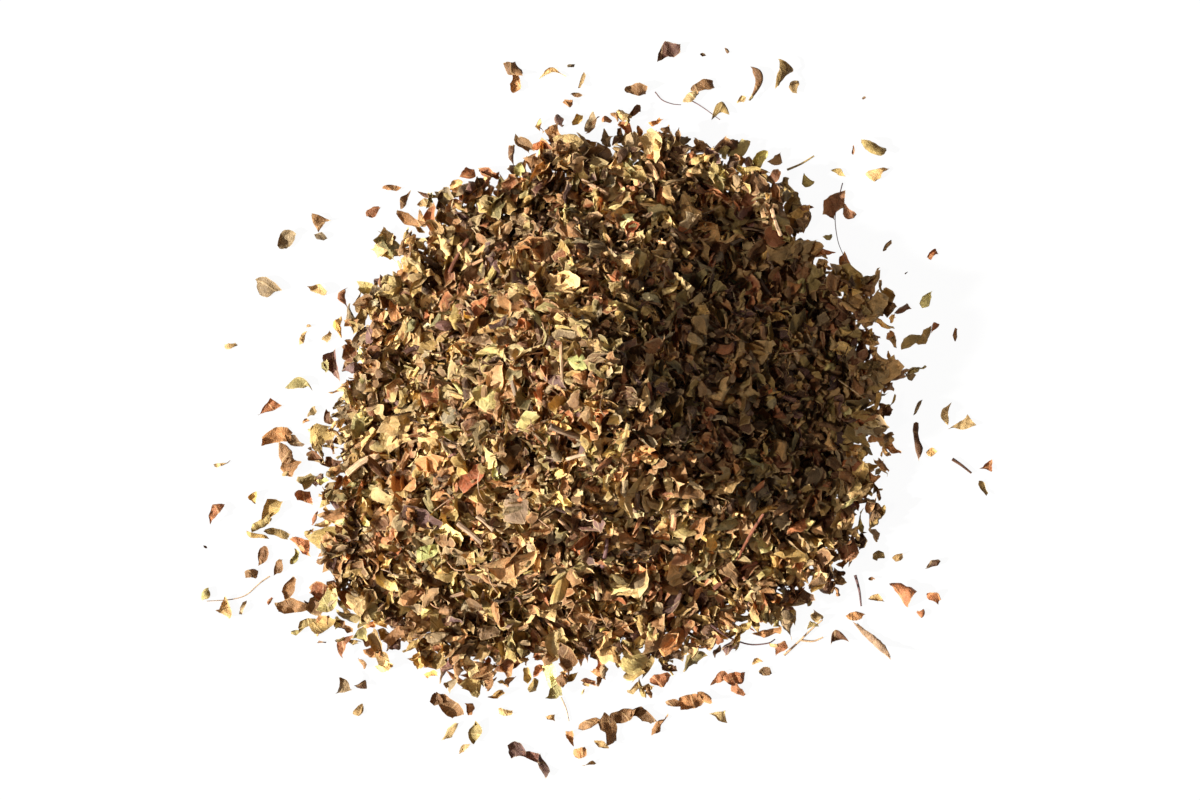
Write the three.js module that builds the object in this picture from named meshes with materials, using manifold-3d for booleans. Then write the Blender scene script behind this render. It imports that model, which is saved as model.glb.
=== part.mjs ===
// A heap of dried, crushed holy basil leaf, as it was poured out on a flat surface. A rounded cone of leaf
// fragments, drawn out into a short crest, lies on the surface at its angle of repose. Pieces of stem and a
// few larger leaves lie on its flanks, and loose fragments are scattered on the surface round it.
// Millimetres, +Z up.
import * as THREE from "three";
import { mergeVertices } from "three/addons/utils/BufferGeometryUtils.js";
import Module from "manifold-3d";

const wasm = await Module();
wasm.setup();

// The heap's own sizes. The origin lies on the surface under the middle of the heap, X runs right and Y away.
const HEAP_HEIGHT = 33;
const PEAK = new THREE.Vector2(-1, 5);
const PEAK_ROUNDING = 0.12; // share of the cone's radius over which its top is rounded
const CONE_SHARE = 0.84; // share of the mound's radius that the cone takes up, with a thin layer round it
const LAYER_HEIGHT = 2.4; // what that layer is thick at the cone
const FOOT_HEIGHT = 0.8; // what it is still thick at its rim
const CREST_HEADING = 107; // degrees: the direction in which the cone's top is drawn out into a crest
const CREST_FALL = 0.66; // near the peak, the crest falls this much of what the flanks beside it fall
const LUMP_HEIGHT = 0.9; // how far the flanks swell and sink
const LUMP_LENGTH = 21;
const RIM_INSET = 2.5; // the mound under the fragments ends this far inside the heap's outline
const ROOT_DEPTH = 2; // how far the mound is drawn below the surface before the cut that makes its flat base
const MOUND_SIDES = 40;
const MOUND_SHARES = [0.13, 0.28, 0.46, 0.65, CONE_SHARE];

// The outline of the dense heap in plan, counter-clockwise from its right-hand side.
const RIM = [
  [56, -2], [58.6, 5], [57, 16], [52.4, 25], [45, 30.4], [40, 37.6], [35.6, 44], [28.4, 50],
  [20, 53.4], [10, 55], [0, 53.6], [-8.8, 53], [-16, 47.6], [-26, 43.4], [-34, 36], [-41.6, 28.4],
  [-47.6, 18], [-51, 8], [-54, 0], [-54.8, -12], [-56.4, -24], [-57.6, -36], [-49, -43.4], [-36, -50],
  [-24, -54.4], [-10, -51.6], [4, -52], [18, -47.6], [30, -44.4], [41, -38.6], [50, -32], [53.6, -20],
];

// The fragments that cover the heap, fused to it. They are drawn larger than life, so that fewer cover it.
const LEAF_THICKNESS = 0.8;
const COVER_COUNT = 139;
const COVER_LENGTH = [9, 13];
const COVER_WIDTH = [6.5, 9];
const COVER_TILT = [10, 38]; // degrees from lying flat on the flank
const COVER_REACH = 0.965; // share of the radius at which the outermost of them lie
const FOOT_COUNT = 58;
const FOOT_LENGTH = [4, 6.5];
const FOOT_WIDTH = [3, 4.6];
const FOOT_OUT = [-1.6, 1.2]; // how far past the outline the fragments at the foot have their middles

// What lies on the heap or beside it is a piece of its own, clear of the heap by this much.
const CLEARANCE = 0.35;
const POCKET_DEPTH = 9; // the space kept free over a piece that lies on the heap
const STEM_SIDES = 8;

const GOLDEN_ANGLE = Math.PI * (3 - Math.sqrt(5));
const DEGREE = Math.PI / 180;
const UP = new THREE.Vector3(0, 0, 1);

const TINTS = {
  olive: 0x7c6f42,
  green: 0xa3a06a,
  tan: 0xb8955c,
  brown: 0x7a5a3c,
  dark: 0x463426,
  grey: 0x8a765e,
  russet: 0x96583a,
  purple: 0x5b4148,
  stem: 0xa58462,
  heap: 0x86683f,
};

// Larger leaves on the flanks: name, tint, outline, middle x and y, length, width and turn in degrees.
const LEAVES_ON_HEAP = [
  ["pale_green_leaf", "green", "oval", -4.6, 9.6, 4.6, 3.6, -20],
  ["yellow_leaf", "tan", "oval", -16.4, 11, 5.6, 5, 30],
  ["purple_leaf", "purple", "shard", -35.5, -21.5, 8.4, 4.2, -20],
  ["red_brown_leaf", "russet", "shard", -25.5, -13.4, 6, 4.6, 60],
  ["large_tan_leaf", "tan", "shard", -17.4, -30.4, 11.5, 5.4, -6],
  ["golden_leaf", "tan", "oval", -8.6, -45.8, 5, 4, 80],
  ["right_flank_leaf", "brown", "shard", 38, 31.6, 9.4, 4.4, 15],
  ["grey_olive_leaf", "olive", "shard", -41.6, -5.4, 6.6, 4.6, 40],
];

// Pieces of stem on the flanks: name, tint, middle x and y, length, thickness and turn in degrees.
const STEMS_ON_HEAP = [
  ["pale_stem", "stem", -47, -10.6, 9, 1.6, 28],
  ["grey_stem_middle", "grey", -7, -4.3, 8.2, 1.3, -37],
  ["grey_stem_low", "grey", -25.8, -24.4, 7.6, 1.3, -38],
  ["brown_stem_low", "brown", 1, -28.4, 7.2, 1, 88],
  ["tan_stem_low", "stem", -0.6, -35.8, 6.4, 1.1, 94],
  ["brown_stem_high", "brown", -28, 30.6, 9.4, 1, 62],
];

// Fragments on the surface. Each row is a tint and the fragments of that piece, which lie across each other
// where a piece has several: outline, middle x and y, length, width and turn in degrees.
const LOOSE = [
  ["grey", ["oval", -62.6, 34, 4, 3.6, 20]],
  ["grey", ["oval", -66.6, 24.4, 4.4, 3.6, -15]],
  ["tan", ["shard", -56.4, 24, 3.2, 2.8, 10]],
  ["brown", ["triangle", -56.2, 37.2, 3.2, 2.4, 75]],
  ["green", ["crescent", -60.2, 5, 4.8, 2.2, -15]],
  ["purple", ["shard", -53.6, 9.4, 5, 3.4, 80]],
  ["russet", ["triangle", -66.4, 0.4, 4, 2.2, 35]],
  ["brown", ["shard", -64.6, -5.4, 6, 3.2, -5], ["shard", -60.9, -6.2, 3.8, 2.2, -50],
    ["shard", -63, -9, 4.6, 3, 80], ["shard", -61.8, -11.4, 3.8, 3.2, 60]],
  ["russet", ["triangle", -76.8, -20.4, 4, 2, 80]],
  ["olive", ["shard", -66.6, -21.8, 7, 4.4, 62], ["strip", -64.6, -24.6, 5, 1.5, -12],
    ["strip", -68.2, -25, 4.8, 1.2, -14]],
  ["brown", ["oval", -67.4, -29, 4, 2.4, 60]],
  ["green", ["oval", -78.8, -36.8, 2.6, 2.1, 70]],
  ["tan", ["triangle", -74.8, -39.2, 3.6, 2.6, -110]],
  ["brown", ["shard", -62, -35.8, 4.6, 2.6, -80], ["shard", -61.6, -39.2, 5.6, 4, 30]],
  ["olive", ["shard", -58.6, -42.8, 3.6, 2.4, 10], ["shard", -55.2, -42.6, 5, 4, 40]],
  ["russet", ["crescent", -51, -47, 4.8, 2, 70]],
  ["tan", ["shard", -44.6, -46.4, 5, 3.4, -60], ["oval", -43.4, -49.6, 4.4, 2.2, -65]],
  ["grey", ["triangle", -51.2, -54.8, 3.4, 2.6, -60]],
  ["tan", ["oval", -48.2, -60, 2.6, 1.7, 40]],
  ["brown", ["shard", -30.2, -58.8, 5.8, 4, -60], ["shard", -32.6, -57.8, 2.6, 2.2, 0]],
  ["olive", ["oval", -25, -64.4, 4.4, 2.6, -80]],
  ["tan", ["strip", -29.8, -64.2, 4.2, 1.6, 60]],
  ["purple", ["shard", -16.6, -68, 3.6, 3, 0], ["shard", -13.8, -69.2, 4.2, 2.2, -20],
    ["shard", -11.4, -71, 4.4, 1.8, -60]],
  ["brown", ["shard", -2, -62.6, 4.8, 2, 10], ["shard", 1.6, -63.8, 5.6, 3.6, -70],
    ["shard", 4.4, -61, 5.2, 3.8, 40], ["shard", 8.8, -61, 5.4, 2.8, -30], ["shard", 11.8, -63, 3.8, 2.6, 70]],
  ["russet", ["shard", 12, -53.6, 4.4, 3.2, 20]],
  ["brown", ["shard", 15, -58.6, 3.4, 1.8, 10], ["shard", 18, -58.2, 4.8, 3.4, 30],
    ["shard", 20.8, -57.4, 3, 2.4, 0]],
  ["russet", ["shard", 24.2, -53.4, 3.6, 2.8, 0], ["shard", 27, -53.6, 3.8, 3.2, 40],
    ["shard", 27.6, -56, 3.2, 2, -60]],
  ["dark", ["crescent", 47.6, -45.6, 3.4, 2.4, 20]],
  ["stem", ["strip", 54.4, -45.8, 10, 1.7, -46]],
  ["russet", ["triangle", 60, -36, 5, 4, -30]],
  ["dark", ["shard", 66.4, -30.8, 2.9, 1.8, 20]],
  ["tan", ["shard", 76.6, -15.6, 3, 1.6, -85]],
  ["russet", ["triangle", 77, -11.4, 2.9, 1.6, 20]],
  ["dark", ["strip", 63.4, -6, 7, 1.9, -80]],
  ["tan", ["triangle", 72.2, -3, 4.6, 1.8, 30]],
  ["olive", ["shard", 62, 13.8, 4.4, 3, 50], ["shard", 64.8, 14.6, 3.8, 2.6, 30]],
  ["tan", ["shard", 65.2, 22, 3.2, 2.6, 30]],
  ["olive", ["shard", 54.4, 52.2, 5.2, 3.2, -42]],
  ["russet", ["shard", 47, 41, 4.8, 3.6, 30], ["shard", 49.6, 39.4, 3.2, 2, -30]],
  ["brown", ["crescent", 31, 66, 5.4, 2.4, -70]],
  ["purple", ["shard", 13.8, 71.8, 4.8, 3.8, 0]],
  ["brown", ["shard", -17, 68, 3.8, 3, -45], ["shard", -17, 65.2, 3.2, 2.6, 60]],
];

// A seeded draw: each call gives the next number from 0 to 1.
function seeded(seed) {
  const MULTIPLIER = 16807;
  const MODULUS = 2147483647;
  let state = seed;
  return () => {
    state = (state * MULTIPLIER) % MODULUS;
    return state / MODULUS;
  };
}

// A number between the two in range, by the draw.
function between(range, draw) {
  return THREE.MathUtils.lerp(range[0], range[1], draw());
}

// The heap's outline as angle and radius round the peak, in order of angle.
const rimSteps = 160;
const rimCurve = new THREE.CatmullRomCurve3(RIM.map(([x, y]) => new THREE.Vector3(x, y, 0)), true);
const rimPolar = rimCurve
  .getSpacedPoints(rimSteps)
  .slice(0, rimSteps)
  .map((point) => {
    const out = new THREE.Vector2(point.x, point.y).sub(PEAK);
    return { angle: out.angle(), radius: out.length() };
  })
  .sort((a, b) => a.angle - b.angle);

// How far the heap's outline is from the peak in a direction.
function rimRadius(angle) {
  const turn = THREE.MathUtils.euclideanModulo(angle, 2 * Math.PI);
  const found = rimPolar.findIndex((step) => step.angle > turn);
  const next = found < 0 ? 0 : found;
  const after = rimPolar[next];
  const before = rimPolar[(next + rimSteps - 1) % rimSteps];
  const span = THREE.MathUtils.euclideanModulo(after.angle - before.angle, 2 * Math.PI);
  const along = THREE.MathUtils.euclideanModulo(turn - before.angle, 2 * Math.PI) / span;
  return THREE.MathUtils.lerp(before.radius, after.radius, along);
}

// The mound's height without its lumps: a cone with a round top, drawn out into a crest, and the thin layer
// round the cone. The angle is the direction from the peak.
function profile(share, angle) {
  if (share >= CONE_SHARE) {
    return THREE.MathUtils.lerp(LAYER_HEIGHT, FOOT_HEIGHT, (share - CONE_SHARE) / (1 - CONE_SHARE));
  }
  const down = share / CONE_SHARE;
  const offCrest = angle - CREST_HEADING * DEGREE;
  const alongCrest = Math.cos(offCrest) * THREE.MathUtils.lerp(CREST_FALL, 1, down);
  const drawnOut = down * Math.hypot(Math.sin(offCrest), alongCrest);
  const full = Math.hypot(1, PEAK_ROUNDING) - PEAK_ROUNDING;
  const fallen = (Math.hypot(drawnOut, PEAK_ROUNDING) - PEAK_ROUNDING) / full;
  return THREE.MathUtils.lerp(HEAP_HEIGHT, LAYER_HEIGHT, fallen);
}

// The flanks' slow swells and hollows, fading out towards the rim.
function lumps(x, y, share) {
  const wave = Math.sin(x / LUMP_LENGTH * 2.1 + 0.6) * Math.cos(y / LUMP_LENGTH * 1.7 - 0.4)
    + 0.6 * Math.sin((x + y) / LUMP_LENGTH * 3.1);
  return LUMP_HEIGHT * wave * (1 - share * share);
}

function moundHeight(x, y) {
  const out = new THREE.Vector2(x, y).sub(PEAK);
  const share = out.length() / (rimRadius(out.angle()) - RIM_INSET);
  if (share >= 1) return 0;
  return profile(share, out.angle()) + lumps(x, y, share);
}

// Which way the mound faces at a point in plan.
function moundNormal(x, y) {
  const step = 1.5;
  const alongX = (moundHeight(x + step, y) - moundHeight(x - step, y)) / (2 * step);
  const alongY = (moundHeight(x, y + step) - moundHeight(x, y - step)) / (2 * step);
  return new THREE.Vector3(-alongX, -alongY, 1).normalize();
}

// A closed solid from a geometry's places alone.
function solid(geometry, matrix = new THREE.Matrix4()) {
  const placed = geometry.clone().applyMatrix4(matrix);
  placed.deleteAttribute("normal");
  placed.deleteAttribute("uv");
  const merged = mergeVertices(placed, 1e-4);
  return new wasm.Manifold(
    new wasm.Mesh({
      numProp: 3,
      vertProperties: merged.attributes.position.array,
      triVerts: new Uint32Array(merged.index.array),
    }),
  );
}

// Solids joined two by two, so that no union meets all of them at once.
function joined(solids) {
  let left = solids;
  while (left.length > 1) {
    left = left.reduce((pairs, next, i) => {
      if (i % 2) pairs.push(left[i - 1].add(next));
      else if (i === left.length - 1) pairs.push(next);
      return pairs;
    }, []);
  }
  return left[0];
}

// The largest body of a solid: scraps that a cut has freed are dropped.
function largestBody(made) {
  return made.decompose().sort((a, b) => b.volume() - a.volume())[0];
}

// The mound under the fragments: a turned cone whose rim is drawn out to the heap's outline.
function moundSolid() {
  const flank = [...MOUND_SHARES].reverse().map((share) => new THREE.Vector2(share, share));
  const outline = [
    new THREE.Vector2(0, 0),
    new THREE.Vector2(1, 0),
    new THREE.Vector2(1, 1),
    ...flank,
    new THREE.Vector2(0, 2),
  ];
  const geometry = new THREE.LatheGeometry(outline, MOUND_SIDES);
  geometry.rotateX(Math.PI / 2);
  const place = geometry.attributes.position;
  for (let i = 0; i < place.count; i++) {
    const across = new THREE.Vector2(place.getX(i), place.getY(i));
    const share = across.length();
    const radius = share * (rimRadius(across.angle()) - RIM_INSET);
    const x = PEAK.x + radius * Math.cos(across.angle());
    const y = PEAK.y + radius * Math.sin(across.angle());
    const onFloor = place.getZ(i) === 0;
    const height = share > 0.999 ? FOOT_HEIGHT : moundHeight(x, y);
    place.setXYZ(i, x, y, onFloor ? -ROOT_DEPTH : height);
  }
  return solid(geometry);
}

// The corners of one fragment round its middle, by how it broke.
function fragmentCorners(kind, length, width, draw) {
  const corner = (angle, reach) =>
    new THREE.Vector2((length / 2) * reach * Math.cos(angle), (width / 2) * reach * Math.sin(angle));
  if (kind === "oval") {
    const count = 8;
    return Array.from({ length: count }, (_, i) => corner((i / count) * 2 * Math.PI, 0.94 + 0.12 * draw()));
  }
  if (kind === "triangle") {
    const reaches = [1, 0.72, 1.12, 0.7, 1.12, 0.72];
    return reaches.map((reach, i) => corner((i / reaches.length) * 2 * Math.PI, reach * (0.92 + 0.16 * draw())));
  }
  if (kind === "crescent") {
    const sag = width * 0.45;
    const bent = [[1, 0], [0.55, 0.62], [0, 0.86], [-0.55, 0.62], [-1, 0], [-0.5, -0.3], [0, -0.34], [0.5, -0.3]];
    return bent.map(([x, y]) => new THREE.Vector2((x * length) / 2, (y * width) / 2 + sag * (0.4 - x * x)));
  }
  if (kind === "strip") {
    const bent = [[1, 0.1], [0.8, 0.9], [0, 1], [-0.8, 0.8], [-1, -0.2], [-0.7, -1], [0.1, -0.8], [0.8, -0.9]];
    return bent.map(([x, y]) => new THREE.Vector2((x * length) / 2, ((y * width) / 2) * (0.85 + 0.3 * draw())));
  }
  const count = 5;
  return Array.from({ length: count }, (_, i) =>
    corner(((i + 0.55 * (draw() - 0.5)) / count) * 2 * Math.PI, 0.9 + 0.34 * draw()));
}

// One leaf fragment: a thin plate whose ends and sides curl up or down, both faces alike.
function fragmentGeometry(corners, curl, draw) {
  const geometry = new THREE.ExtrudeGeometry(new THREE.Shape(corners), {
    depth: LEAF_THICKNESS,
    bevelEnabled: false,
  });
  const reach = Math.max(...corners.map((corner) => corner.length()));
  const lengthwise = curl * (0.5 + draw());
  const across = curl * (0.5 + draw());
  const twist = curl * 2 * (draw() - 0.5);
  const place = geometry.attributes.position;
  for (let i = 0; i < place.count; i++) {
    const x = place.getX(i) / reach;
    const y = place.getY(i) / reach;
    const lift = lengthwise * x * x + across * y * y + twist * x * y;
    place.setZ(i, place.getZ(i) - LEAF_THICKNESS / 2 + lift);
  }
  return geometry;
}

// The turn that lays a plate on a face with this normal, leant by tilt towards a direction in the plate.
function layOn(normal, spin, tilt, lean) {
  const onFace = new THREE.Quaternion().setFromUnitVectors(UP, normal);
  const leanAxis = new THREE.Vector3(Math.cos(lean), Math.sin(lean), 0);
  const leant = new THREE.Quaternion().setFromAxisAngle(leanAxis, tilt);
  const spun = new THREE.Quaternion().setFromAxisAngle(UP, spin);
  return onFace.multiply(leant).multiply(spun);
}

function placement(x, y, z, turn) {
  return new THREE.Matrix4().compose(new THREE.Vector3(x, y, z), turn, new THREE.Vector3(1, 1, 1));
}

// The fragments that cover the flanks, on a spiral that spaces them evenly.
function coverSolids(draw) {
  return Array.from({ length: COVER_COUNT }, (_, i) => {
    const angle = i * GOLDEN_ANGLE + 0.25 * (draw() - 0.5);
    const share = COVER_REACH * Math.sqrt((i + 0.5) / COVER_COUNT);
    const radius = share * (rimRadius(angle) - RIM_INSET);
    const x = PEAK.x + radius * Math.cos(angle);
    const y = PEAK.y + radius * Math.sin(angle);
    const size = THREE.MathUtils.lerp(1, 0.82, share * share);
    const length = size * between(COVER_LENGTH, draw);
    const width = size * between(COVER_WIDTH, draw);
    const corners = fragmentCorners("shard", length, width, draw);
    const geometry = fragmentGeometry(corners, draw() < 0.6 ? -1.1 : 0.9, draw);
    const tilt = between(COVER_TILT, draw) * DEGREE * Math.min(1, 0.3 + 2 * share);
    const turn = layOn(moundNormal(x, y), draw() * 2 * Math.PI, tilt, draw() * 2 * Math.PI);
    return solid(geometry, placement(x, y, moundHeight(x, y) + 0.35, turn));
  });
}

// The lowest point of a solid.
function bottomOf(made) {
  return made.boundingBox().min[2];
}

// The single layer of fragments at the heap's foot, each with its inner end in the mound.
function footSolids(draw) {
  return Array.from({ length: FOOT_COUNT }, (_, i) => {
    const angle = ((i + 0.6 * (draw() - 0.5)) / FOOT_COUNT) * 2 * Math.PI;
    const radius = rimRadius(angle) - RIM_INSET + between(FOOT_OUT, draw);
    const x = PEAK.x + radius * Math.cos(angle);
    const y = PEAK.y + radius * Math.sin(angle);
    const corners = fragmentCorners("shard", between(FOOT_LENGTH, draw), between(FOOT_WIDTH, draw), draw);
    const geometry = fragmentGeometry(corners, 0.5, draw);
    const outward = new THREE.Vector3(Math.cos(angle), Math.sin(angle), 5).normalize();
    const spin = angle + 0.9 * (draw() - 0.5);
    const laid = solid(geometry, placement(x, y, 0, layOn(outward, spin, 0, 0)));
    return laid.translate([0, 0, -bottomOf(laid) + 0.1 * draw()]);
  });
}

// Everything under the surface that the heap lies on, to be cut away.
function floorSolid() {
  const size = 400;
  return solid(new THREE.BoxGeometry(size, size, size), placement(0, 0, -size / 2, new THREE.Quaternion()));
}

// The space kept free round a plate and over it: its outline, grown, from just under it upwards.
function plateSpace(corners, length, width, low, matrix) {
  const shape = new THREE.Shape(
    corners.map((c) => new THREE.Vector2(
      c.x * (1 + (2 * CLEARANCE) / length),
      c.y * (1 + (2 * CLEARANCE) / width),
    )),
  );
  const geometry = new THREE.ExtrudeGeometry(shape, { depth: POCKET_DEPTH, bevelEnabled: false });
  geometry.translate(0, 0, low - CLEARANCE);
  return solid(geometry, matrix);
}

// A larger leaf on the flank, and the space that it needs there.
function leafOnHeap([, , kind, x, y, length, width, turnDegrees], seed) {
  const draw = seeded(seed);
  const corners = fragmentCorners(kind, length, width, draw);
  const geometry = fragmentGeometry(corners, -0.7, draw);
  geometry.computeBoundingBox();
  const turn = layOn(moundNormal(x, y), turnDegrees * DEGREE, 0, 0);
  const matrix = placement(x, y, moundHeight(x, y) + 1.5, turn);
  const space = plateSpace(corners, length, width, geometry.boundingBox.min.z, matrix);
  return { made: solid(geometry, matrix), space };
}

// A piece of stem on the flank, and the space that it needs there.
function stemOnHeap([, , x, y, length, thickness, turnDegrees]) {
  const radius = thickness / 2;
  const geometry = new THREE.CylinderGeometry(radius * 0.85, radius, length, STEM_SIDES);
  geometry.rotateZ(-Math.PI / 2);
  const turn = layOn(moundNormal(x, y), turnDegrees * DEGREE, 0, 0);
  const matrix = placement(x, y, moundHeight(x, y) + 1.3, turn);
  const free = new THREE.BoxGeometry(length + 2 * CLEARANCE, thickness + 2 * CLEARANCE, POCKET_DEPTH);
  free.translate(0, 0, POCKET_DEPTH / 2 - radius - CLEARANCE);
  return { made: solid(geometry, matrix), space: solid(free, matrix) };
}

// One loose piece: its fragments lie on the surface and across each other.
function looseSolid(fragments, seed) {
  const spaces = [];
  const parts = fragments.map(([kind, x, y, length, width, turnDegrees], i) => {
    const draw = seeded(seed + 31 * i);
    const corners = fragmentCorners(kind, length, width, draw);
    const geometry = fragmentGeometry(corners, 0.25 + 0.14 * width, draw);
    const lean = draw() * 2 * Math.PI;
    const turn = layOn(UP, turnDegrees * DEGREE, 5 * DEGREE, lean);
    spaces.push(plateSpace(corners, length, width, -1, placement(x, y, 0, turn)));
    const laid = solid(geometry, placement(x, y, 0, turn));
    return laid.translate([0, 0, -bottomOf(laid)]);
  });
  return { made: joined(parts), space: joined(spaces) };
}

// A solid as a named mesh in its tint.
function meshOf(name, made, tint) {
  const { numProp, vertProperties, triVerts, numVert } = made.getMesh();
  const places = new Float32Array(numVert * 3);
  for (let i = 0; i < numVert; i++) {
    places.set(vertProperties.subarray(i * numProp, i * numProp + 3), i * 3);
  }
  const geometry = new THREE.BufferGeometry();
  geometry.setAttribute("position", new THREE.BufferAttribute(places, 3));
  geometry.setIndex(new THREE.BufferAttribute(new Uint32Array(triVerts), 1));
  geometry.computeVertexNormals();
  const material = new THREE.MeshStandardMaterial({ color: TINTS[tint], roughness: 0.85, metalness: 0 });
  const mesh = new THREE.Mesh(geometry, material);
  mesh.name = name;
  return mesh;
}

const heapGroup = new THREE.Group();
heapGroup.name = "holy_basil_heap";

const leaves = LEAVES_ON_HEAP.map((row, i) => ({ row, ...leafOnHeap(row, 501 + 17 * i) }));
const stems = STEMS_ON_HEAP.map((row) => ({ row, ...stemOnHeap(row) }));
const loose = LOOSE.map(([tint, ...fragments], i) => ({
  row: [`loose_${tint}_${String(i + 1).padStart(2, "0")}`, tint],
  ...looseSolid(fragments, 901 + 211 * i),
}));
const besides = [...leaves, ...stems, ...loose];

const draw = seeded(20817);
const covered = joined([moundSolid(), ...coverSolids(draw), ...footSolids(draw)]);
const cut = joined([floorSolid(), ...besides.map((piece) => piece.space)]);
const heap = largestBody(covered.subtract(cut));
heapGroup.add(meshOf("crushed_leaf_heap", heap, "heap"));
for (const { row, made } of besides) heapGroup.add(meshOf(row[0], made, row[1]));

export default heapGroup;
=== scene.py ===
"""The heap of dried, crushed holy basil leaf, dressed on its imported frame.

Lengths in this script are millimetres, and a mesh is scaled to metres when it is made. Only the floor, the
camera's clipping and the bumps are given in metres.
"""
import math

import bpy
import numpy as np
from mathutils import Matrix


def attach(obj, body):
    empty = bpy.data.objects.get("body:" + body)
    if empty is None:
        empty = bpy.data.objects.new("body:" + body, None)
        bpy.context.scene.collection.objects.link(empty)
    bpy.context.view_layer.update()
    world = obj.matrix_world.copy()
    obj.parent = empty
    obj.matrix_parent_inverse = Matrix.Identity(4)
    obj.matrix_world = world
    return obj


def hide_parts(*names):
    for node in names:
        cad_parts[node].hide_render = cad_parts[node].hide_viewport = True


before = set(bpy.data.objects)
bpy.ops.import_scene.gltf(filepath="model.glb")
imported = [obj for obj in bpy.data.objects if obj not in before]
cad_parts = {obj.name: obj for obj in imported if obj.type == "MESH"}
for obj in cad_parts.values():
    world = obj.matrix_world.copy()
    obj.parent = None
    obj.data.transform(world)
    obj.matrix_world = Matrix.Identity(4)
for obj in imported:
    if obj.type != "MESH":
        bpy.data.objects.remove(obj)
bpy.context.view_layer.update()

MM = 0.001
UP = (0.0, 0.0, 1.0)
DRAW = np.random.default_rng(41)

# The picture is 1200 by 800 pixels, taken from straight above.
PIXEL = 0.2
PICTURE_WIDTH = 1200
CAMERA_HEIGHT = 450.0
CAMERA_OVER = (0.0, 2.0)
SENSOR_WIDTH = 36.0

# The key light stands at the left, and the upper part of its soft box reaches over the crest. Each has an
# elevation in degrees, a strength, a softness in degrees and a colour.
LIGHT_FROM = (-1.0, -0.23)
LIGHTS = {
    "key": (26, 10.0, 2.2, (1.0, 0.98, 0.95)),
    "upper": (57, 1.2, 4, (1.0, 0.87, 0.79)),
}
FILL_STRENGTH = 0.038
FILL_COLOUR = (1.0, 0.86, 0.98, 1.0)
FLOOR_GLOW = 0.955
FLOOR_WHITE = 0.045

# The heap's own sizes, as in the solids.
HEAP_HEIGHT = 33.0
PEAK = (-1.0, 5.0)
PEAK_ROUNDING = 0.12
CONE_SHARE = 0.84
LAYER_HEIGHT = 2.4
FOOT_HEIGHT = 0.8
CREST_HEADING = math.radians(107)
CREST_FALL = 0.66
LUMP_HEIGHT = 0.9
LUMP_LENGTH = 21.0
RIM_INSET = 2.5
RIM = [
    (56, -2), (58.6, 5), (57, 16), (52.4, 25), (45, 30.4), (40, 37.6), (35.6, 44), (28.4, 50),
    (20, 53.4), (10, 55), (0, 53.6), (-8.8, 53), (-16, 47.6), (-26, 43.4), (-34, 36), (-41.6, 28.4),
    (-47.6, 18), (-51, 8), (-54, 0), (-54.8, -12), (-56.4, -24), (-57.6, -36), (-49, -43.4), (-36, -50),
    (-24, -54.4), (-10, -51.6), (4, -52), (18, -47.6), (30, -44.4), (41, -38.6), (50, -32), (53.6, -20),
]

# The crumbs lie in clumps, with hollows between them: how high, and how far apart.
CLUMP_HEIGHT = 1.0
CLUMP_LENGTHS = (6.5, 8.0, 10.5)
CLUMP_HEADINGS = (20, 75, 140)

# The mound under the crumbs, which shows only between them and is painted dark as the shade there, and where
# the crumbs on it start.
MOUND_DEPTH = 3.6
CRUMBS_DEPTH = 2.6
MOUND_INSET = 7.0
MOUND_RINGS = 22
MOUND_SIDES = 96
MOUND_EDGE = 0.6
MOUND_ROUGHNESS = 0.5
MOUND_FOOT = 0.05

# How many crumbs of each sort there are, and their lengths, for dust the widths too: the middle, the scatter
# as a share of it, the least and the most.
SORTS = {
    "shard": (4400, 4.6, 0.26, 2.3, 7.0),
    "roll": (2100, 4.4, 0.3, 2.1, 8.6),
    "chip": (1800, 2.0, 0.25, 1.1, 3.2),
    "sliver": (2700, 3.6, 0.3, 1.8, 7.0),
    "stem": (190, 5.6, 0.35, 2.5, 10.0),
    "thread": (420, 6.5, 0.35, 3.0, 12.0),
    "calyx": (150, 3.6, 0.2, 2.4, 5.0),
    "dust": (3000, 0.9, 0.3, 0.4, 1.5),
    "dust width": (3000, 0.55, 0.3, 0.25, 1.0),
    "fringe": (1050, 3.0, 0.34, 1.0, 5.6),
}

# A crumb's size on the heap, as a share of that: the larger ones roll further down.
SIZE_AT_PEAK = 0.83
SIZE_AT_RIM = 0.99

# A crumb falls where the heap is lowest of this many places, and not where it stands over its goal already.
PLACES_TRIED = 6
OVER_GOAL = 0.3
DENSE_REACH = 0.925

# How the crumbs on the heap lean: up to the first share of them lie nearly flat, up to the second one lean
# between two angles in degrees, and the rest stand up.
FLAT_UP_TO = 0.47
FLAT_SCATTER = math.radians(20)
LEANING_UP_TO = 0.81
LEANING = (18, 52)
STANDING = (52, 86)

# How far the others lean, in radians.
STEM_LEAN = 0.2
FRINGE_LEAN = 0.25
LOOSE_LEAN = 0.12
SINGLE_LEAF_LEAN = 0.12
SINGLE_STEM_LEAN = 0.05

# The share of a crumb's points that may be bedded among those below it.
BEDDED = 0.3
DUST_BEDDED = 0.6
CALYX_BEDDED = 0.35
SINGLE_BEDDED = 0.35
FRINGE_BEDDED = 0.15
LOOSE_BEDDED = 0.1

# How far outside the rim the single layer lies: the middle, the scatter, and the least and the most.
FRINGE_OUT = -3.2
FRINGE_SCATTER = 3.3
FRINGE_REACH = (-11, 4.5)

# A crumb that stands up carries what falls on it by this share of its height, because others slip past it.
SUPPORT = 0.8

# A crumb lies at least this far over the surface.
OVER_SURFACE = 0.02

# The height of the crumbs is kept in square cells, this far out.
HEIGHT_CELL = 0.6
HEIGHT_REACH = 100.0

# A fold sharper than this shows as an edge.
CREASE = math.radians(27)

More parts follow.
